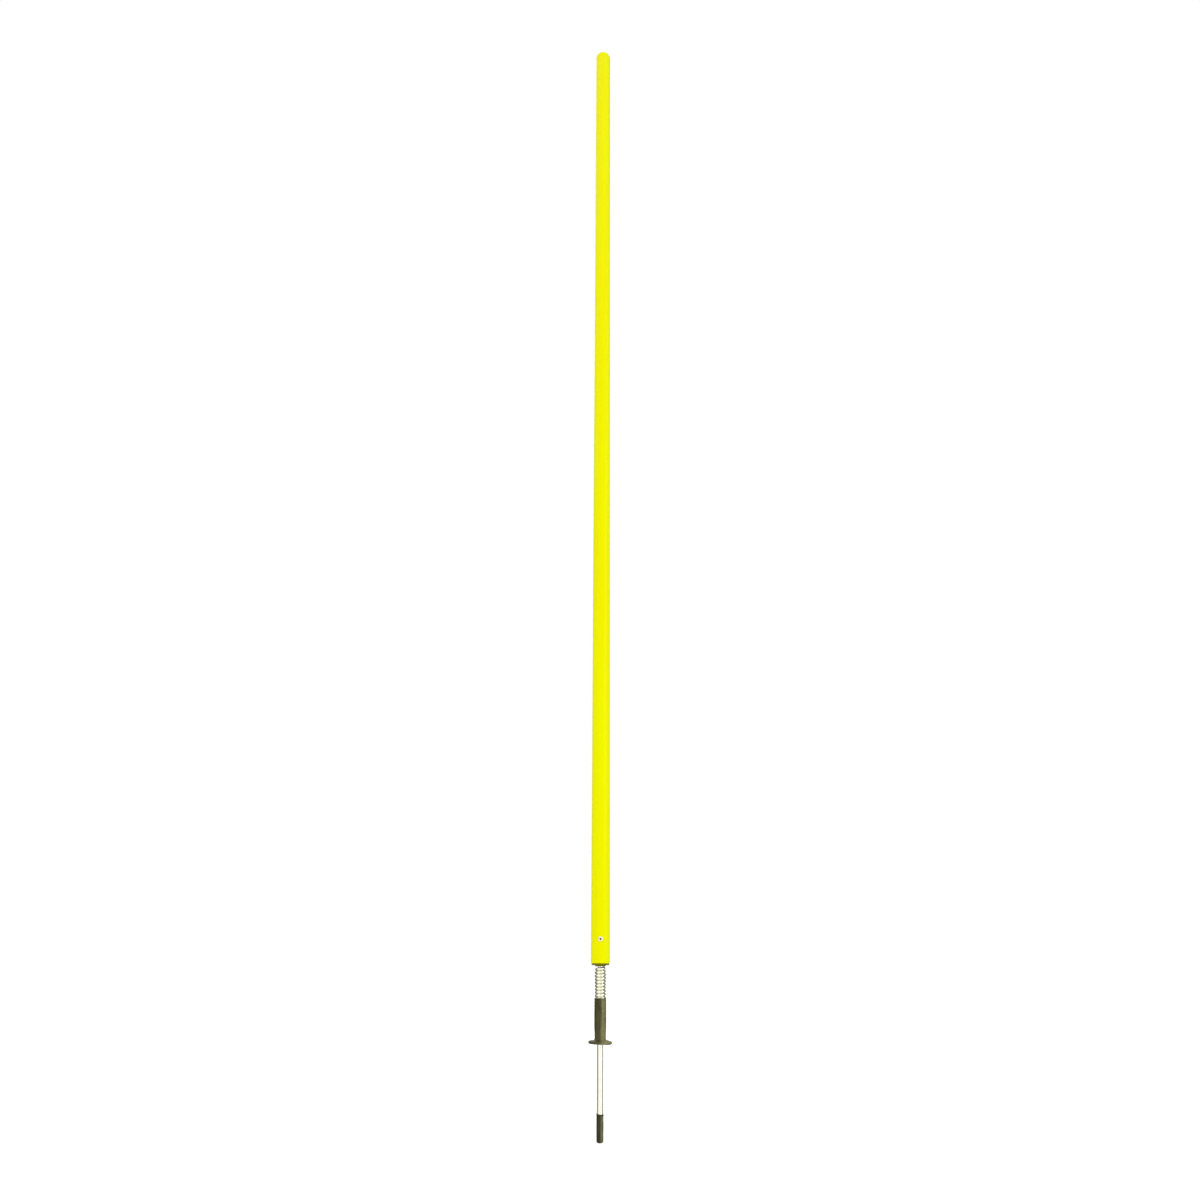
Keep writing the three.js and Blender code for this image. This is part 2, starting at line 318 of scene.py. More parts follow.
# A profile of (radius, height) points carried round the pole's axis:
# x = radius cos angle, y = radius sin angle, z = height. A profile that starts and ends on the axis
# closes in a point at each end, and any other closes on itself. shape(radius, height, angle) may
# change both.
def turnedSurface(profile, sides, shape=None):
    profile = np.array(profile, dtype=float)
    onAxis = profile[0, 0] == 0 and profile[-1, 0] == 0
    circle = np.arange(sides) * fullTurn / sides
    radius, angle = np.meshgrid(profile[:, 0], circle, indexing="ij")
    height = np.meshgrid(profile[:, 1], circle, indexing="ij")[0]
    if shape:
        radius, height = shape(radius, height, angle)
    grid = np.stack([radius * np.cos(angle), radius * np.sin(angle), height], axis=-1)
    if not onAxis:
        return grid.reshape(-1, 3), gridFaces(len(profile), sides, True, True).tolist()
    inner = grid[1:-1]
    points = np.vstack([inner.reshape(-1, 3), grid[0].mean(axis=0), grid[-1].mean(axis=0)])
    faces = gridFaces(len(inner), sides, False, True).tolist()
    around = np.arange(sides)
    onward = (around + 1) % sides
    last = (len(inner) - 1) * sides
    bottom, top = len(points) - 2, len(points) - 1
    faces += np.stack([np.full(sides, bottom), onward, around], axis=-1).tolist()
    faces += np.stack([np.full(sides, top), last + around, last + onward], axis=-1).tolist()
    return points, faces


# Points from one profile point to another in equal steps, the last one left out.
def run(start, end, steps):
    share = np.arange(steps)[:, None] / steps
    return (np.array(start, dtype=float) * (1 - share) + np.array(end, dtype=float) * share).tolist()


# Points along part of an ellipse about (radius, height), both ends kept; angles in degrees.
def bow(centre, halfWidth, halfHeight, start, end, steps):
    angle = np.radians(np.linspace(start, end, steps + 1))
    return np.stack([centre[0] + halfWidth * np.cos(angle),
                     centre[1] + halfHeight * np.sin(angle)], axis=-1).tolist()


# The same along part of a circle, for a rounded edge.
def arc(radius, height, bend, start, end, steps):
    return bow((radius, height), bend, bend, start, end, steps)


# 0 below low, 1 above high, smooth between, for whole arrays.
def rise(value, low, high):
    share = np.clip((value - low) / (high - low), 0, 1)
    return share * share * (3 - 2 * share)


# The rivet's hole through a finished piece: from drillStart in front to depth, both along y.
drillStart = -14.0
drillSides = 32


def drillFront(piece, radius, depth):
    sides = drillSides
    angle = np.arange(sides) * fullTurn / sides
    height = levels["rivet"] + radius * np.sin(angle)
    ring = np.stack([radius * np.cos(angle), np.zeros(sides), height], axis=-1)
    points = np.vstack([ring + (0, drillStart, 0), ring + (0, depth, 0)])
    ends = [list(range(sides)), list(range(2 * sides - 1, sides - 1, -1))]
    faces = gridFaces(2, sides, False, True).tolist() + ends
    cutter = newPiece("rivetDrill", points, faces, piece.data.materials[0])
    cutting = piece.modifiers.new("rivetHole", "BOOLEAN")
    cutting.operation = "DIFFERENCE"
    cutting.solver = "EXACT"
    cutting.object = cutter
    bpy.context.view_layer.update()
    evaluated = piece.evaluated_get(bpy.context.evaluated_depsgraph_get())
    drilled = bpy.data.meshes.new_from_object(evaluated)
    piece.modifiers.clear()
    piece.data = drilled
    bpy.data.objects.remove(cutter)
    smoothPiece(drilled, foldAngle)


# Yellow plastic of the tube and cap. Here and below, grains are per metre along x, y and z, and a
# pair such as tint says where a noise sets in and where it is full.
yellowLook = {
    "warm": colourOf(243, 238, 0), "lemon": colourOf(240, 245, 0), "tint": (0.38, 0.62),
    "streakGrain": 620, "streakShare": 0.6, "cloudGrain": (38, 38, 5),
    "worn": colourOf(230, 224, 60), "wornShare": 0.5,
    "hairGrain": (210, 210, 2900), "hairMiddle": 0.5, "hairWidth": 0.012,
    "wornGrain": (46, 46, 19), "wornPlaces": (0.60, 0.70),
    "dust": colourOf(190, 182, 40), "dustShare": 0.3,
    "speckGrain": (1500, 1500, 1300), "specks": (0.83, 0.87),
    "peelGrain": (420, 420, 300),
    "streakRise": 0.5, "peelRise": 0.6, "scuffDepth": 0.6,
    "gloss": 0.24, "glossCloud": 0.07, "glossScuff": 0.25,
    "shine": 0.24, "shineTint": (1.0, 0.97, 0.0, 1.0),
    "bumpDepth": 0.00006, "bumpShare": 0.35,
}


# Extruded or moulded yellow plastic: faint lengthwise streaks, specks of dust, and fine scuffs where
# the noise of the hairs crosses its middle.
def yellowPlastic(name, streakLength, scuffAndHighlight):
    look = yellowLook
    material, paint = newMaterial(name)
    streak = paint.grain((look["streakGrain"], look["streakGrain"], streakLength), detail=3.0)
    cloud = paint.grain(look["cloudGrain"], shift=4.7)
    tint = paint.step(streak * look["streakShare"] + cloud * (1 - look["streakShare"]), *look["tint"])
    colour = paint.mix(tint, look["warm"], look["lemon"])
    hair = paint.grain(look["hairGrain"], detail=1.0, shift=9.1)
    worn = paint.step(paint.grain(look["wornGrain"], shift=2.3), *look["wornPlaces"])
    scuff = paint.step((hair - look["hairMiddle"]).size(), look["hairWidth"], 0.0) * worn * scuffAndHighlight
    speck = paint.step(paint.grain(look["speckGrain"], detail=0.0, shift=6.4), *look["specks"])
    colour = paint.mix(scuff * look["wornShare"], colour, look["worn"])
    colour = paint.mix(speck * look["dustShare"], colour, look["dust"])
    peel = paint.grain(look["peelGrain"], detail=1.0, shift=1.2)
    height = streak * look["streakRise"] + peel * look["peelRise"] - scuff * look["scuffDepth"]
    return finishMaterial(material, paint, {
        "Base Color": colour,
        "Roughness": look["gloss"] + look["glossCloud"] * cloud + look["glossScuff"] * scuff,
        "Specular IOR Level": look["shine"], "Specular Tint": look["shineTint"],
        "Normal": paint.bump(height, look),
    })


tubeYellow = yellowPlastic("tubeYellow", streakLength=5.0, scuffAndHighlight=1.0)
capYellow = yellowPlastic("capYellow", streakLength=160.0, scuffAndHighlight=0.5)


# The pole's tube
tubeLook = {
    "radius": 12.5, "wall": 1.8, "sides": 96, "rowEvery": 26.0,
    "endRound": 0.9, "topRound": 0.15, "boreRound": 0.3,
    "rowClear": 1.5, "boreClear": 2.0,   # mm from an end's rounding to the first row
    "ripple": 0.03,           # mm, how far the extruded wall wanders inwards
    "rippleTurn": 90.0, "rippleWave": 41.0,   # mm of length per radian
    "rippleFrom": (3.0, 60.0),   # mm from each end, where the ripple sets in
    "rivetHole": 2.15, "holeDepth": -9.0,
}


# Closed wall section turned round the axis. The whole wall wanders by a few hundredths of a mm:
# radius - ripple (1 - sin(2 angle + height / 90) sin(height / 41)), fading out towards both ends.
def makeTube():
    look = tubeLook
    outer, inner = look["radius"], look["radius"] - look["wall"]
    low, high = levels["tubeEnd"], levels["tubeTop"]
    rows = int((high - low) / look["rowEvery"])
    end, top, bore, clear = look["endRound"], look["topRound"], look["boreRound"], look["rowClear"]
    profile = arc(outer - end, low + end, end, -90, 0, 7)
    profile += run((outer, low + end + clear), (outer, high - clear), rows)
    profile += arc(outer - top, high - top, top, 0, 90, 3)
    profile += arc(inner + bore, high - bore, bore, 90, 180, 3)
    profile += run((inner, high - look["boreClear"]), (inner, low + look["boreClear"]), rows)
    profile += arc(inner + bore, low + bore, bore, 180, 270, 4)

    def shape(radius, height, angle):
        near, far = look["rippleFrom"]
        wander = np.sin(2 * angle + height / look["rippleTurn"]) * np.sin(height / look["rippleWave"])
        fade = rise(height, low + near, low + far) * (1 - rise(height, high - far, high - near))
        return radius - look["ripple"] * fade * (1 - wander), height

    points, faces = turnedSurface(profile, look["sides"], shape)
    tube = newPiece("poleTube", points, faces, tubeYellow, "pole")
    drillFront(tube, look["rivetHole"], look["holeDepth"])
    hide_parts("pole_tube")


makeTube()


# The cap on its upper end
capLook = {
    "radius": 12.5, "band": 3.5, "seam": 0.06, "domeHeight": 10.5, "domeSteps": 24,
    "stemRadius": 10.4, "stemBore": 8.1, "stemLength": 24.0, "sides": 96,
    "boreRound": 0.4, "stemRound": 0.6, "seatRound": 0.15,
    "seatIn": 0.2, "bandClear": 0.8,   # mm from the seat's corner to the rows next to it
}


# The dome is half a flattened ellipsoid: (radius / 12.5)^2 + (height / 10.5)^2 = 1.
def makeCap():
    look = capLook
    seat, outer, top = levels["tubeTop"] + look["seam"], look["radius"], look["domeHeight"]
    base = seat + look["band"] - look["seam"]
    stem, bore, low = look["stemRadius"], look["stemBore"], levels["tubeTop"] - look["stemLength"]
    dome = bow((0, base), outer, top, 0, 90, look["domeSteps"])
    dome[-1] = (0, base + top)
    boreBend, stemBend, seatBend = look["boreRound"], look["stemRound"], look["seatRound"]
    profile = run((0, base), (bore, base), 4) + run((bore, base), (bore, low), 4)
    profile += arc(bore + boreBend, low + boreBend, boreBend, 180, 270, 3)
    profile += arc(stem - stemBend, low + stemBend, stemBend, -90, 0, 4)
    profile += run((stem, low + 2 * stemBend), (stem, seat), 5)
    profile += run((stem, seat), (outer - look["seatIn"], seat), 2)
    profile += arc(outer - seatBend, seat + seatBend, seatBend, -90, 0, 3)
    profile += run((outer, seat + look["bandClear"]), (outer, base), 3) + dome
    points, faces = turnedSurface(profile, look["sides"])
    cap = newPiece("topCap", points, faces, capYellow, "pole")
    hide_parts("top_cap")


makeCap()
print("tube and cap made")


# The plug in its lower end
plugLook = {
    "radius": 10.4, "bore": 4.08, "seam": 0.04, "topChamfer": 1.5, "sides": 72,
    "lipRadius": 11.5, "lipHeight": 2.1, "lipRound": 0.8, "lipEdge": 0.15,
    "noseHeight": 1.5, "noseTop": 7.2, "noseEnd": 6.4, "noseRound": 0.3,
    "coneStart": (0.05, 0.45),   # mm, the cone's lowest row, outside and above the nose's end
    "coneTop": 0.25,          # mm, its highest row, below the lip
    "rivetHole": 2.3, "holeDepth": -5.8,
    # the lip's two colours are painted shade: the yellow tube's end as it looks in shadow
    "lipShadeDeep": colourOf(100, 98, 0), "lipShadePale": colourOf(124, 121, 4),
    "noseDeep": colourOf(94, 96, 34), "nosePale": colourOf(124, 127, 56),
    "lipFrom": 94.6, "lipFull": 95.5,   # mm, levels where the lip's painted shade takes over
    "cloudGrain": (260, 260, 260), "cloudShare": 0.7, "dusty": (0.4, 0.66),
    "fineGrain": (2400, 2400, 2400),
    "gloss": 0.46, "glossCloud": 0.16, "shine": 0.3, "shineTint": (1.0, 1.0, 0.3, 1.0),
    "bumpDepth": 0.00003, "bumpShare": 0.6,
}


# Olive-dark moulded plastic, duller on the nose. The lip next to the tube is painted shade: a dark
# saturated yellow, as the tube's end looks in shadow.
def darkPlastic():
    look = plugLook
    material, paint = newMaterial("plugDark")
    cloud = paint.grain(look["cloudGrain"], detail=3.0)
    fine = paint.grain(look["fineGrain"], shift=3.3)
    dusty = paint.step(cloud * look["cloudShare"] + fine * (1 - look["cloudShare"]), *look["dusty"])
    # painted shade on the lip: dark yellow, as the tube's end looks in shadow
    lip = paint.mix(dusty, look["lipShadeDeep"], look["lipShadePale"])
    nose = paint.mix(dusty, look["noseDeep"], look["nosePale"])
    height = paint.axes(paint.place())[2]
    colour = paint.mix(paint.step(height, look["lipFrom"] * mm, look["lipFull"] * mm), nose, lip)
    return finishMaterial(material, paint, {
        "Base Color": colour, "Roughness": look["gloss"] + look["glossCloud"] * cloud,
        "Specular IOR Level": look["shine"], "Specular Tint": look["shineTint"],
        "Normal": paint.bump(fine, look),
    })


# Lip under the tube's end, short cone below it, and the body that fills the bore.
def makePlug():
    look = plugLook
    top, high, radius = levels["tubeEnd"] - look["seam"], levels["plugTop"], look["radius"]
    low = top - look["lipHeight"]
    nose, bore, chamfer = low - look["noseHeight"], look["bore"], look["topChamfer"]
    lip, lipBend, edge = look["lipRadius"], look["lipRound"], look["lipEdge"]
    noseTop, noseEnd, bend = look["noseTop"], look["noseEnd"], look["noseRound"]
    outwards, upwards = look["coneStart"]
    profile = arc(noseEnd - bend, nose + bend, bend, -90, -20, 4)
    profile += run((noseEnd + outwards, nose + upwards), (noseTop, low - look["coneTop"]), 4)
    profile += arc(noseTop + bend, low - bend, bend, 160, 90, 4)
    profile += arc(lip - lipBend, low + lipBend, lipBend, -90, 0, 5)
    profile += arc(lip - edge, top - edge, edge, 0, 90, 3)
    profile += run((radius, top), (radius, high - chamfer), 8)
    profile += [(radius, high - chamfer), (radius - chamfer, high)] + run((bore, high), (bore, nose), 8)
    points, faces = turnedSurface(profile, look["sides"])
    plug = newPiece("endPlug", points, faces, darkPlastic(), "pole")
    drillFront(plug, look["rivetHole"], look["holeDepth"])
    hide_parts("end_plug")


makePlug()


# The stub rod above the spring and the spike below it
rodLook = {
    "radius": 4.0, "grip": 2.8, "chamfer": 0.8, "sides": 64,
    "pointLength": 9.0, "pointRadius": 0.7, "pointRound": 0.35,
    "coneStart": (0.12, 0.55),   # mm, the cone's lowest row, outside and above the blunt tip
    "coneEnd": (0.1, 0.4),    # mm, its highest row, inside and below the rod's shoulder
    "bright": colourOf(255, 254, 238), "grey": colourOf(245, 243, 225), "tint": (0.32, 0.6),
    "cloudGrain": (240, 240, 90), "cloudShare": 0.5, "drawnGrain": 2600,
    "stain": colourOf(194, 186, 152), "stainShare": 0.3,
    "spotGrain": (520, 520, 520), "spots": (0.66, 0.76),
    "gloss": 0.2, "glossCloud": 0.1, "glossSpot": 0.12, "bumpDepth": 0.00002, "bumpShare": 0.5,
}


# Zinc on drawn steel: fine lines along the rod, soft clouds in the plating, a few dull spots.
def zincPlate(name, lineLength):
    look = rodLook
    material, paint = newMaterial(name)
    cloud = paint.grain(look["cloudGrain"], detail=3.0)
    drawn = paint.grain((look["drawnGrain"], look["drawnGrain"], lineLength), shift=5.2)
    spot = paint.step(paint.grain(look["spotGrain"], shift=8.6), *look["spots"])
    tint = paint.step(cloud * look["cloudShare"] + drawn * (1 - look["cloudShare"]), *look["tint"])
    colour = paint.mix(tint, look["grey"], look["bright"])
    colour = paint.mix(spot * look["stainShare"], colour, look["stain"])
    return finishMaterial(material, paint, {
        "Base Color": colour, "Metallic": 1.0,
        "Roughness": look["gloss"] + look["glossCloud"] * cloud + look["glossSpot"] * spot,
        "Normal": paint.bump(drawn, look),
    })


rodZinc = zincPlate("rodZinc", lineLength=12.0)
nutZinc = zincPlate("nutZinc", lineLength=700.0)


# Blunt cone, full rod up to the spring's floor, and a thinner grip inside the coils.
def makeSpike():
    look = rodLook
    radius, grip, edge = look["radius"], look["grip"], look["chamfer"]
    top, low, neck = levels["spikeTop"], levels["pointEnd"], levels["springFloor"]
    shoulder, tip, bend = low + look["pointLength"], look["pointRadius"], look["pointRound"]
    outwards, upwards = look["coneStart"]
    inwards, downwards = look["coneEnd"]
    profile = [(0, low)] + bow((tip / 2, low + bend), tip / 2, bend, -80, -10, 4)
    profile += run((tip + outwards, low + upwards), (radius - inwards, shoulder - downwards), 6)
    profile += run((radius, shoulder + downwards), (radius, neck), 20)
    profile += run((radius, neck), (grip, neck), 2) + run((grip, neck), (grip, top - edge), 4)
    profile += run((grip, top - edge), (grip - edge, top), 2) + [(grip - edge, top), (0, top)]
    points, faces = turnedSurface(profile, look["sides"])
    spike = newPiece("spikeRod", points, faces, rodZinc, "spike")
    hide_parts("spike_rod")


# Thinner grip inside the coils, and the full rod through the plug.
def makeStub():
    radius, grip, edge = rodLook["radius"], rodLook["grip"], rodLook["chamfer"]
    low, top, shoulder = levels["stubBottom"], levels["stubTop"], levels["springTop"]
    profile = [(0, low)] + run((grip - edge, low), (grip, low + edge), 2)
    profile += run((grip, low + edge), (grip, shoulder), 4)
    profile += run((grip, shoulder), (radius, shoulder), 2)
    profile += run((radius, shoulder), (radius, top - edge), 10)
    profile += run((radius, top - edge), (radius - edge, top), 2) + [(radius - edge, top), (0, top)]
    points, faces = turnedSurface(profile, rodLook["sides"])
    stub = newPiece("stubRod", points, faces, rodZinc, "pole")
    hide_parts("stub_rod")


makeSpike()
makeStub()
for hidden in ("stub_washer", "stub_nut"):
    for held in nodes[hidden].material_slots:
        held.material = nutZinc
print("plug and rods made")


# The blind rivet through tube and plug
rivetLook = {
    "headRadius": 3.3, "headHeight": 1.15, "shank": 2.0, "shankLength": 4.8, "bore": 1.2, "sides": 48,
    "seatGap": 0.02,          # mm between the head and the tube
    "seatIn": 0.25, "rimRound": (0.3, 0.28),
    "domeIn": (0.55, 0.42),   # mm, the dome's centre, outside the bore and above the seat
    "domeShort": 0.56,        # mm, how much narrower the dome is than the head round its bore
    "mouthRound": (0.5, 0.45), "mouthClear": 0.7, "endClear": 0.3,
    "sinkAbove": -0.5,        # mm, level from which points are let down onto the tube
    "sinkFrom": 0.1,          # mm, level from which they sink less and less
    "stemRadius": 1.12, "stemBelow": 0.4, "stemGap": 0.3, "stemClear": 0.25,
    "stemHead": 1.7, "stemHeadLength": 1.2, "stemHeadEdge": 0.3,
    "brokenEdge": [(0.1, 0.08), (0.35, 0), (0.6, 0.12)],   # mm inside the stem, and below its crown
    "brokenMiddle": [(0.2, 0.2), (0, 0.16)],   # mm from the axis, and below its crown
    "cloudGrain": (700, 700, 700), "tint": (0.35, 0.65),
    "fineGrain": (4200, 4200, 4200), "glossFine": 0.15, "bumpDepth": 0.00003, "bumpShare": 0.7,
}
shellLook = {
    "light": colourOf(252, 246, 230), "dark": colourOf(236, 228, 206), "gloss": 0.38, "metal": 0.4,
}
stemLook = {
    "light": colourOf(78, 72, 66), "dark": colourOf(44, 40, 38), "gloss": 0.45, "metal": 0.85,
}


# Cloudy rivet metal with a fine grain.
def rivetMetal(name, finish):
    look = rivetLook
    material, paint = newMaterial(name)
    cloud = paint.grain(look["cloudGrain"], detail=3.0)
    fine = paint.grain(look["fineGrain"], shift=2.9)
    colour = paint.mix(paint.step(cloud, *look["tint"]), finish["dark"], finish["light"])
    return finishMaterial(material, paint, {
        "Base Color": colour, "Metallic": finish["metal"],
        "Roughness": finish["gloss"] + look["glossFine"] * fine, "Normal": paint.bump(fine, look),
    })


# Turns points that stand along Z to look out of the tube's front at the rivet's level.
def faceFront(points):
    x, y, height = points.T
    return np.stack([x, -(tubeLook["radius"] + height), levels["rivet"] + y], axis=-1)


# Domed head over a hollow shank. The head's underside is let down onto the round tube:
# each point sinks by R - sqrt(R^2 - x^2), less and less towards the head's crown.
def makeRivetShell():
    look = rivetLook
    head, high, bore, shank = look["headRadius"], look["headHeight"], look["bore"], look["shank"]
    low, seat, tube = -look["shankLength"], look["seatGap"], tubeLook["radius"]
    rimOut, rimUp = look["rimRound"]
    domeOut, domeUp = look["domeIn"]
    mouthOut, mouthUp = look["mouthRound"]
    profile = run((bore, low), (shank, low), 1) + run((shank, low), (shank, 0), 5)
    profile += run((shank, seat), (head - look["seatIn"], seat), 4)
    profile += bow((head - rimOut, rimOut), rimOut, rimUp, -90, 0, 4)
    profile += bow((bore + domeOut, domeUp), head - bore - look["domeShort"], high - domeUp, 6, 90, 12)
    profile += bow((bore + mouthOut, high - mouthUp), mouthOut, mouthUp, 96, 180, 6)
    profile += run((bore, high - look["mouthClear"]), (bore, low + look["endClear"]), 6)
    points, faces = turnedSurface(profile, look["sides"])
    sink = tube - np.sqrt(tube ** 2 - points[:, 0] ** 2)
    sink = sink * (1 - rise(points[:, 2], look["sinkFrom"], high))
    points[:, 2] -= np.where(points[:, 2] > look["sinkAbove"], sink, 0)
    pale = rivetMetal("rivetPale", shellLook)
    shell = newPiece("rivetShell", faceFront(points), faces, pale, "pole")
    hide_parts("rivet_shell")


# Straight stem with a head behind the shank and a rough broken end inside the rivet's mouth.
def makeRivetStem():
    look = rivetLook
    crown, stem, knob = look["headHeight"] - look["stemBelow"], look["stemRadius"], look["stemHead"]
    foot, edge = -look["shankLength"] - look["stemGap"], look["stemHeadEdge"]
    low = foot - look["stemHeadLength"]
    profile = [(0, low)] + run((knob - edge, low), (knob, low + edge), 2)
    profile += run((knob, low + edge), (knob, foot), 2) + run((knob, foot), (stem, foot), 2)
    profile += run((stem, foot), (stem, crown - look["stemClear"]), 6)
    profile += [(stem - inside, crown - below) for inside, below in look["brokenEdge"]]
    profile += [(radius, crown - below) for radius, below in look["brokenMiddle"]]
    points, faces = turnedSurface(profile, look["sides"])
    dark = rivetMetal("rivetDark", stemLook)
    stemPiece = newPiece("rivetStem", faceFront(points), faces, dark, "pole")
    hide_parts("rivet_mandrel")


makeRivetShell()
makeRivetStem()
print("rivet made")


# The coil spring between the rods
springLook = {
    "wire": 1.98, "radius": 5.34, "bottomCentre": 23.48, "topCentre": 91.58, "turns": 17.025,
    "startTurn": -0.053, "splitTurn": 8.6, "stepsPerTurn": 44, "wireSides": 18, "endBevel": 0.3,
    "belly": 0.26,            # mm, how much wider the coils are at the belly
    "bellyLevel": 77.0, "bellySpread": 8.0,
    "shoulder": 0.5,          # mm, how far the last two coils at the top close in
    "shoulderFrom": 84.0, "shoulderFull": 91.6,
    "bright": colourOf(253, 252, 232), "grey": colourOf(245, 243, 222), "tint": (0.36, 0.62),
    "alongGrain": (90, 16, 1), "alongShare": 0.4, "cloudGrain": (300, 300, 300),
    "fineGrain": (1100, 46, 1), "oily": colourOf(200, 192, 156), "oilyShare": 0.35,
    "spotGrain": (900, 900, 900), "spots": (0.68, 0.76),
    "gloss": 0.17, "glossCloud": 0.1, "glossSpot": 0.1, "bumpDepth": 0.00002, "bumpShare": 0.4,
}
climb = (springLook["topCentre"] - springLook["bottomCentre"]) / springLook["turns"]


# Plated spring wire: its lines follow the wire, from the u along it and v round it.
def springSteel():
    look = springLook
    material, paint = newMaterial("springZinc")
    along = paint.grain(look["alongGrain"], kind="UV")
    fine = paint.grain(look["fineGrain"], shift=7.7, kind="UV")
    cloud = paint.grain(look["cloudGrain"], shift=1.9)
    spot = paint.step(paint.grain(look["spotGrain"], detail=1.0, shift=4.4), *look["spots"])
    tint = paint.step(along * look["alongShare"] + cloud * (1 - look["alongShare"]), *look["tint"])
    colour = paint.mix(tint, look["grey"], look["bright"])
    colour = paint.mix(spot * look["oilyShare"], colour, look["oily"])
    return finishMaterial(material, paint, {
        "Base Color": colour, "Metallic": 1.0,
        "Roughness": look["gloss"] + look["glossCloud"] * cloud + look["glossSpot"] * spot,
        "Normal": paint.bump(fine, look),
    })


springZinc = springSteel()


# Round wire on a helix: the centre is (R cos a, R sin a, height), the height rises by climb in each
# turn, and each ring lies square to the wire, made of its outward direction and the one across it.
# R has a belly, a bell curve of height, and a shoulder at the top. The ends are square and bevelled.
def springPiece(name, firstTurn, lastTurn):
    look = springLook
    wire, radius, bevel, sides = look["wire"], look["radius"], look["endBevel"], look["wireSides"]
    rings = int(round((lastTurn - firstTurn) * look["stepsPerTurn"])) + 1
    turn = np.linspace(firstTurn, lastTurn, rings)
    shift = bevel / (fullTurn * radius)
    turn = np.concatenate([[firstTurn, firstTurn + shift], turn[1:-1], [lastTurn - shift, lastTurn]])
    thick = np.full(len(turn), wire)
    if firstTurn == 0:
        thick[0] = wire - bevel
    if lastTurn == look["turns"]:
        thick[-1] = wire - bevel
    angle = (turn + look["startTurn"]) * fullTurn
    height = look["bottomCentre"] + climb * turn
    belly = look["belly"] * np.exp(-((height - look["bellyLevel"]) / look["bellySpread"]) ** 2)
    shoulder = look["shoulder"] * rise(height, look["shoulderFrom"], look["shoulderFull"])
    reach = radius + belly - shoulder
    out = np.stack([np.cos(angle), np.sin(angle), 0 * angle], axis=-1)
    centre = out * reach[:, None] + np.stack([0 * turn, 0 * turn, height], axis=-1)
    slope = np.full(len(turn), climb / fullTurn / radius)
    ahead = np.stack([-np.sin(angle), np.cos(angle), slope], axis=-1)
    ahead /= np.linalg.norm(ahead, axis=1, keepdims=True)
    across = np.cross(ahead, out)
    circle = np.arange(sides) * fullTurn / sides
    cosine, sine = np.cos(circle)[None, :, None], np.sin(circle)[None, :, None]
    ring = cosine * out[:, None, :] + sine * across[:, None, :]
    points = (centre[:, None, :] + thick[:, None, None] * ring).reshape(-1, 3)
    last = (len(turn) - 1) * sides
    faces = gridFaces(len(turn), sides, False, True).tolist()
    faces += [list(range(sides)), list(range(last + sides - 1, last - 1, -1))]
    piece = newPiece(name, points, faces, springZinc, sharpAbove=softFoldAngle)
    mesh = piece.data
    corner = np.zeros(len(mesh.loops), dtype=np.int32)
    mesh.loops.foreach_get("vertex_index", corner)
    along = (angle * radius * mm)[corner // sides]
    around = (corner % sides) / sides
    wires = mesh.uv_layers.new(name="wire")
    wires.uv.foreach_set("vector", np.stack([along, around], axis=-1).ravel().astype(np.float32))
    return piece


splitLevel = springLook["bottomCentre"] + climb * springLook["splitTurn"]
lowerBend = {"start": (0, 0, levels["spikeTop"] * mm), "end": (0, 0, splitLevel * mm)}
upperBend = {"start": (0, 0, splitLevel * mm), "end": (0, 0, levels["stubBottom"] * mm)}

lowerSpring = springPiece("springLower", 0, springLook["splitTurn"])
upperSpring = springPiece("springUpper", springLook["splitTurn"], springLook["turns"])
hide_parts("bend_spring")
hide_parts("bend_spring")
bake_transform(lowerSpring)
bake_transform(upperSpring)
print("spring made")


# The rubber of the sleeve and the tip cover
rubberLook = {
    "tint": (0.34, 0.68), "fineGrain": (2600, 2600, 1900),
    "dustGrain": (900, 900, 500), "dusty": (0.58, 0.72), "dustShare": 0.22,
    "footShare": 0.1, "footCloud": 0.3,   # dust at the foot
    "highlightWay": (0.62, -0.785, 0),   # the painted highlight looks this way, to the front and right, towards the key lamp
    "highlightSide": (0.76, 1.0), "highlightFoot": 0.04,   # how squarely a point must look that way to be painted lit
    "blotchGrain": (420, 420, 240), "blotches": (0.34, 0.62),
    # how strong the painted highlight is: more at the foot and in blotches
    "highlightShare": 0.5, "highlightShareFoot": 0.2, "highlightShareBlotch": 0.36,
    "glossCloud": 0.14, "glossDust": 0.16, "shine": 0.36, "shineTint": (1.0, 1.0, 0.6, 1.0),
    "fineRise": 0.6, "cloudRise": 0.4, "bumpDepth": 0.00006, "bumpShare": 0.6,
}
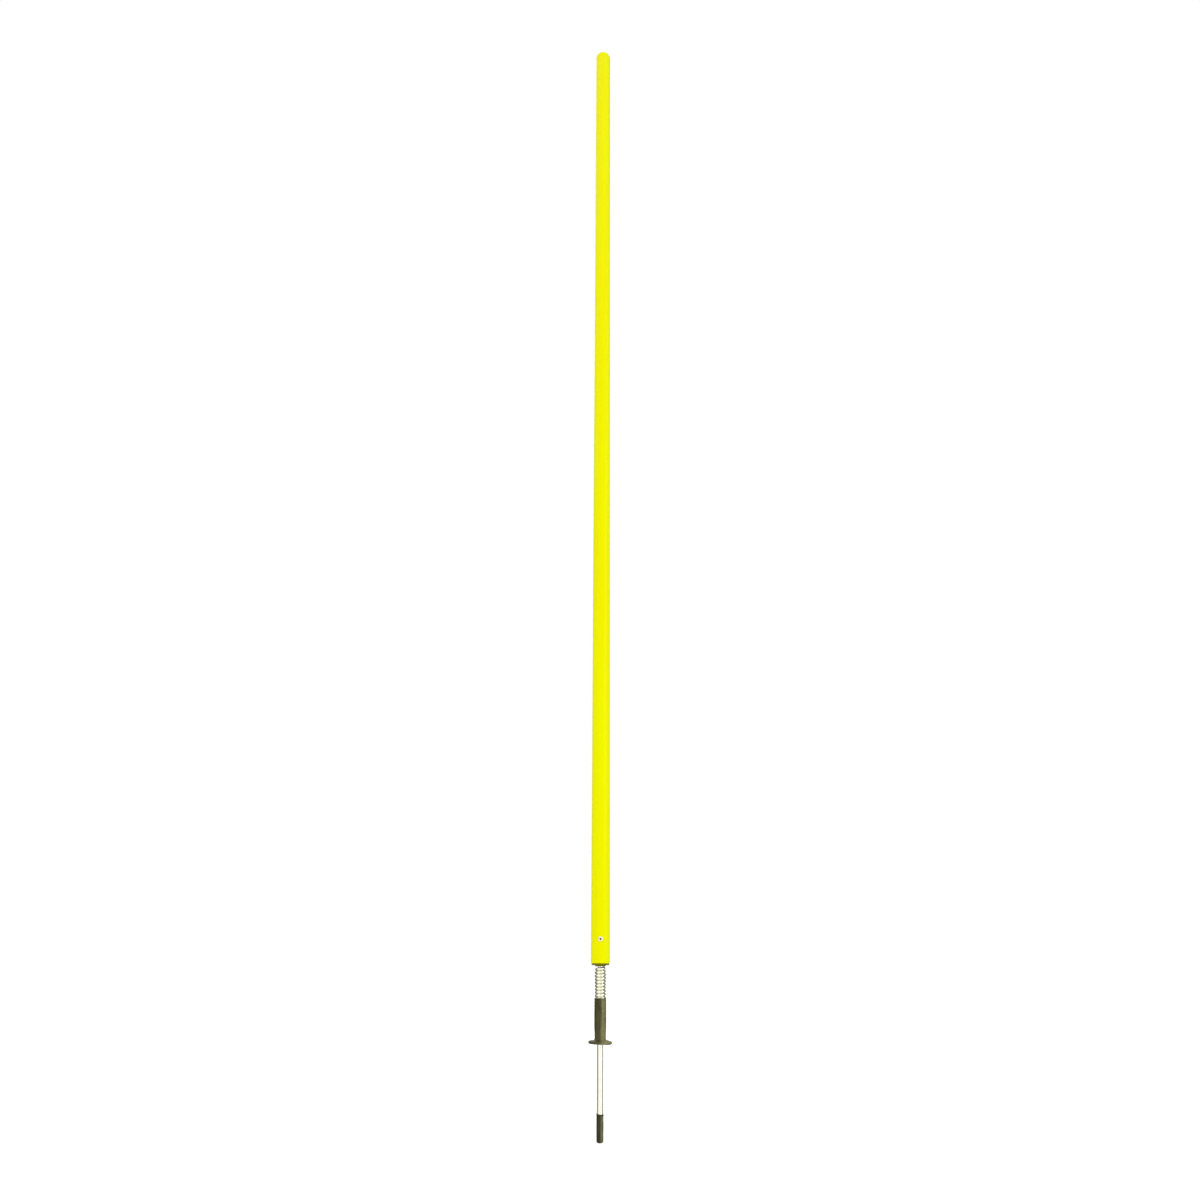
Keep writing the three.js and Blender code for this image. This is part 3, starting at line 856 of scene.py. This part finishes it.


# Olive-black rubber: cloudy bloom, fine grain, a little dust that gathers at the foot, a soft shine,
# and a painted highlight: the front-right side painted paler, but not at the top edge, which stays dark.
# look is the piece's own.
def oliveRubber(name, look):
    shared = rubberLook
    material, paint = newMaterial(name)
    cloud = paint.grain(look["cloudGrain"], detail=3.0)
    fine = paint.grain(shared["fineGrain"], shift=3.9)
    dusty = paint.step(paint.grain(shared["dustGrain"], detail=3.0, shift=6.1), *shared["dusty"])
    colour = paint.mix(paint.step(cloud, *shared["tint"]), look["deep"], look["bloom"])
    height = paint.axes(paint.place())[2]
    foot = paint.step(height, look["dustTop"] * mm, look["dustFoot"] * mm)
    footDust = foot * (shared["footShare"] + shared["footCloud"] * cloud)
    colour = paint.mix((dusty * shared["dustShare"]).larger(footDust), colour, look["dust"])
    # Painted highlight: the side that faces the key lamp is painted paler, as that lamp would light it.
    facing = paint.vector("DOT_PRODUCT", paint.levelled(paint.place()), shared["highlightWay"], out=1)
    blotch = paint.step(paint.grain(shared["blotchGrain"], detail=3.0, shift=2.6), *shared["blotches"])
    side = paint.step(facing + foot * shared["highlightFoot"], *shared["highlightSide"])
    side = side * paint.step(height, look["highlightGone"] * mm, look["highlightFull"] * mm)
    strength = shared["highlightShare"] + shared["highlightShareFoot"] * foot
    strength = strength + shared["highlightShareBlotch"] * blotch
    colour = paint.mix(side * strength, colour, look["scuffAndHighlight"])
    return finishMaterial(material, paint, {
        "Base Color": colour,
        "Roughness": look["gloss"] + shared["glossCloud"] * cloud + shared["glossDust"] * dusty,
        "Specular IOR Level": shared["shine"], "Specular Tint": shared["shineTint"],
        "Normal": paint.bump(fine * shared["fineRise"] + cloud * shared["cloudRise"], shared),
    })


# The sleeve over the spring's lower half
sleeveLook = {
    "bore": 4.06, "springBore": 7.39, "sides": 128, "boreBevel": (0.1, 0.1), "boreClear": 0.4,
    "flangeRadius": 15.3, "flangeThick": 3.5, "rootHeight": 4.8, "rootFillet": 2.2, "rowClear": 0.4,
    "footRadius": 7.25, "coilRadius": 7.66, "bulgeRadius": 7.84, "edgeRadius": 7.7,
    "coilFrom": 12.0,         # mm, level where the wall begins to widen to the coils
    "bulgeFull": 36.0, "bulgeEnd": 44.0,   # mm, levels of the widest part
    "edgeRound": 0.2, "edgeClear": 0.5, "edgeFlat": 0.25,
    "flangeReach": 1.0,       # mm above the root where the flange's shape ends
    "flangeFrom": 0.5,        # mm outside the foot where it begins
    "tilt": 0.042,            # rise of the flange towards the left, mm per mm
    "cup": 0.35,              # mm, how far the rim stands up from the ground
    "wave": 0.245, "shortWave": 0.098,   # mm, how far the rim waves up and down
    "wavePhase": 0.7, "shortPhase": 2.1, "slantPhase": 0.9,   # radians
    "coilPrint": 0.08,        # mm, how far the coils show through the stretched rubber
    "printFrom": (22.0, 44.0), "printTo": (1.4, 0.4),   # mm, levels, and mm below the top
    "creases": 0.07, "creaseCount": 13, "creaseSway": 1.5,   # mm, upright folds above the flange
    "creaseHeight": 12.0,
    "lean": 0.06, "leanWave": 9.0, "leanFrom": (8.0, 20.0),   # mm, the wall's slow unevenness
    "mouthDrop": 0.25, "mouthSlant": 0.22, "mouthWave": 0.1, "mouthDepth": 3.0,   # mm
    "dustTop": 34.0, "dustFoot": 6.0,   # mm, the rubber gets dustier from one level to the other
    "highlightGone": 60.0, "highlightFull": 58.0,   # mm, no painted highlight above these
    "deep": colourOf(44, 43, 20), "bloom": colourOf(66, 64, 30), "dust": colourOf(112, 110, 76),
    # the first colour below is painted highlight: the front-right side painted paler, as lit by the key
    # lamp
    "scuffAndHighlight": colourOf(127, 125, 88), "gloss": 0.36, "cloudGrain": (150, 150, 60),
}


# The wall's radius goes from foot to coil, bulge and edge radius by height, plus creases, a lean and
# the print of the coils, coilPrint (cos(their turns - angle) - 1). The flange rises towards its rim
# by cup + wave sin(3 angle) + shortWave sin(5 angle) - tilt x, and the mouth dips by
# drop - slant sin(angle) - its wave sin(3 angle). Angles are shifted by their phases.
def makeSleeve():
    look = sleeveLook
    top, floor = levels["sleeveTop"], levels["springFloor"]
    root, fillet = look["rootHeight"], look["rootFillet"]
    rim, thick, half = look["flangeRadius"], look["flangeThick"], look["flangeThick"] / 2
    bore, inner, clear, edge = look["bore"], look["springBore"], look["rowClear"], look["edgeRound"]
    foot, coil, bulge = look["footRadius"], look["coilRadius"], look["bulgeRadius"]
    profile = run((bore + look["boreClear"], 0), (rim - half, 0), 10)
    profile += arc(rim - half, half, half, -90, 90, 12)
    profile += run((rim - half - clear, thick), (foot + fillet, root), 8)
    profile += arc(foot + fillet, root + fillet, fillet, -90, -180, 10)
    profile += run((foot, root + fillet + clear), (foot, top - look["edgeClear"]), 120)
    profile += arc(foot - edge, top - edge, edge, 0, 90, 4) + [(foot - look["edgeFlat"], top)]
    outerRows = len(profile)
    profile += run((inner, top - edge), (inner, floor), 20) + run((inner, floor), (bore, floor), 4)
    profile += run((bore, floor), (bore, look["boreClear"]), 8)
    profile += [(bore + look["boreBevel"][0], look["boreBevel"][1])]
    row = np.arange(len(profile))[:, None]

    def shape(radius, height, angle):
        swell = foot + (coil - foot) * rise(height, look["coilFrom"], floor)
        swell += (bulge - coil) * rise(height, floor, look["bulgeFull"])
        swell -= (bulge - look["edgeRadius"]) * rise(height, look["bulgeEnd"], top)
        turns = (height - springLook["bottomCentre"]) / climb + springLook["startTurn"]
        full, none = look["printTo"]
        printed = look["coilPrint"] * (np.cos(turns * fullTurn - angle) - 1)
        printed = printed * rise(height, *look["printFrom"])
        printed = printed * (1 - rise(height, top - full, top - none))
        sway = look["creaseSway"] * np.sin(2 * angle)
        folds = look["creases"] * np.cos(look["creaseCount"] * angle + sway)
        folds = folds * np.sin(np.pi * np.clip((height - root) / look["creaseHeight"], 0, 1))
        lean = look["lean"] * np.sin(angle * 2 + height / look["leanWave"])
        lean = lean * rise(height, *look["leanFrom"])
        wall = (row < outerRows) & (height > root + fillet)
        radius = radius + np.where(wall, swell - foot + printed + folds + lean, 0)
        wave = look["wave"] * np.sin(3 * angle + look["wavePhase"])
        wave = wave + look["shortWave"] * np.sin(5 * angle + look["shortPhase"])
        lifted = look["cup"] + wave - look["tilt"] * radius * np.cos(angle)
        outwards = rise(radius, foot + look["flangeFrom"], rim)
        height = height + np.where(height < root + look["flangeReach"], outwards * lifted, 0)
        slant = look["mouthSlant"] * np.sin(angle + look["slantPhase"])
        dip = look["mouthDrop"] - (slant + look["mouthWave"] * np.sin(3 * angle))
        return radius, height - rise(height, top - look["mouthDepth"], top) * dip

    points, faces = turnedSurface(profile, look["sides"], shape)
    rubber = oliveRubber("sleeveRubber", look)
    sleeve = newPiece("groundSleeve", points, faces, rubber, None, softFoldAngle)
    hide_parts("ground_sleeve")
    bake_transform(sleeve)


makeSleeve()


# The cover on the spike's point
coverLook = {
    "bore": 4.05, "radius": 4.46, "tipRadius": 2.7, "floor": -110.2, "sides": 96,
    "coneHeight": 9.5, "coneEnd": 0.8,   # mm, the bore's end follows the spike's point
    "flatRadius": 0.5, "tipClear": 0.5, "mouthClear": 0.7, "boreClear": 0.9, "mouthRound": (0.19, 0.26),
    "lip": 0.1, "lipFrom": (2.4, 1.4),   # mm thicker, and mm below the mouth
    "lump": 0.05,             # mm, unevenness of the dipped rubber
    "secondLump": 0.7,        # share of it with the second pattern
    "lumpWave": 4.0, "secondWave": 2.6,   # mm of height per radian
    "lumpFrom": (1.0, 5.0), "lumpTo": (2.2, 1.2),   # mm above the bottom, and below the mouth
    "slant": (1.0, -0.44, 0.39),   # mm, the mouth rises by these, by cos angle and by sin angle
    "slantDepth": 4.0,
    # mm: dust from dustTop down, and no painted highlight above the last two levels, so the mouth's rim
    # stays dark as painted shade
    "dustTop": -110.0, "dustFoot": -124.0, "highlightGone": -81.9, "highlightFull": -82.8,
    "deep": colourOf(27, 28, 13), "bloom": colourOf(49, 50, 27), "dust": colourOf(108, 108, 76),
    # the first colour below is painted highlight: the front-right side painted paler, as lit by the key
    # lamp
    "scuffAndHighlight": colourOf(114, 115, 88), "gloss": 0.38, "cloudGrain": (230, 230, 150),
}


# Thin dipped cap: radius + lump (sin(2 angle + height / 4) + 0.7 sin(3 angle + height / 2.6)),
# thicker in a soft lip at the mouth, which sits askew and higher on the left.
def makeCover():
    look = coverLook
    low, mouth = levels["coverBottom"], levels["coverMouth"]
    radius, tip, bore, coneEnd = look["radius"], look["tipRadius"], look["bore"], look["coneEnd"]
    floor, coneTop = look["floor"], look["floor"] + look["coneHeight"]
    mouthOut, mouthUp = look["mouthRound"]
    profile = [(0, low)] + run((look["flatRadius"], low), (radius - tip, low), 3)
    profile += arc(radius - tip, low + tip, tip, -90, 0, 12)
    profile += run((radius, low + tip + look["tipClear"]), (radius, mouth - look["mouthClear"]), 44)
    profile += bow((radius - mouthOut, mouth - mouthUp), mouthOut, mouthUp, 0, 150, 8)
    outerRows = len(profile)
    profile += run((bore, mouth - look["boreClear"]), (bore, coneTop), 8)
    profile += run((bore, coneTop), (coneEnd, floor), 6) + [(coneEnd, floor), (0, floor)]
    row = np.arange(len(profile))[:, None]

    def shape(radius, height, angle):
        first, even = look["lumpFrom"]
        fading, gone = look["lumpTo"]
        thin, thick = look["lipFrom"]
        body = rise(height, low + first, low + even) * (1 - rise(height, mouth - fading, mouth - gone))
        lumps = np.sin(2 * angle + height / look["lumpWave"])
        lumps = lumps + look["secondLump"] * np.sin(height / look["secondWave"] + 3 * angle)
        lip = look["lip"] * rise(height, mouth - thin, mouth - thick)
        radius = radius + np.where(row < outerRows, look["lump"] * body * lumps + lip, 0)
        lift, across, back = look["slant"]
        slant = lift + across * np.cos(angle) + back * np.sin(angle)
        return radius, height + rise(height, mouth - look["slantDepth"], mouth) * slant

    points, faces = turnedSurface(profile, look["sides"], shape)
    rubber = oliveRubber("tipRubber", look)
    cover = newPiece("tipCover", points, faces, rubber, "cover", softFoldAngle)
    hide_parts("tip_cover")


makeCover()
print("rubber pieces made")
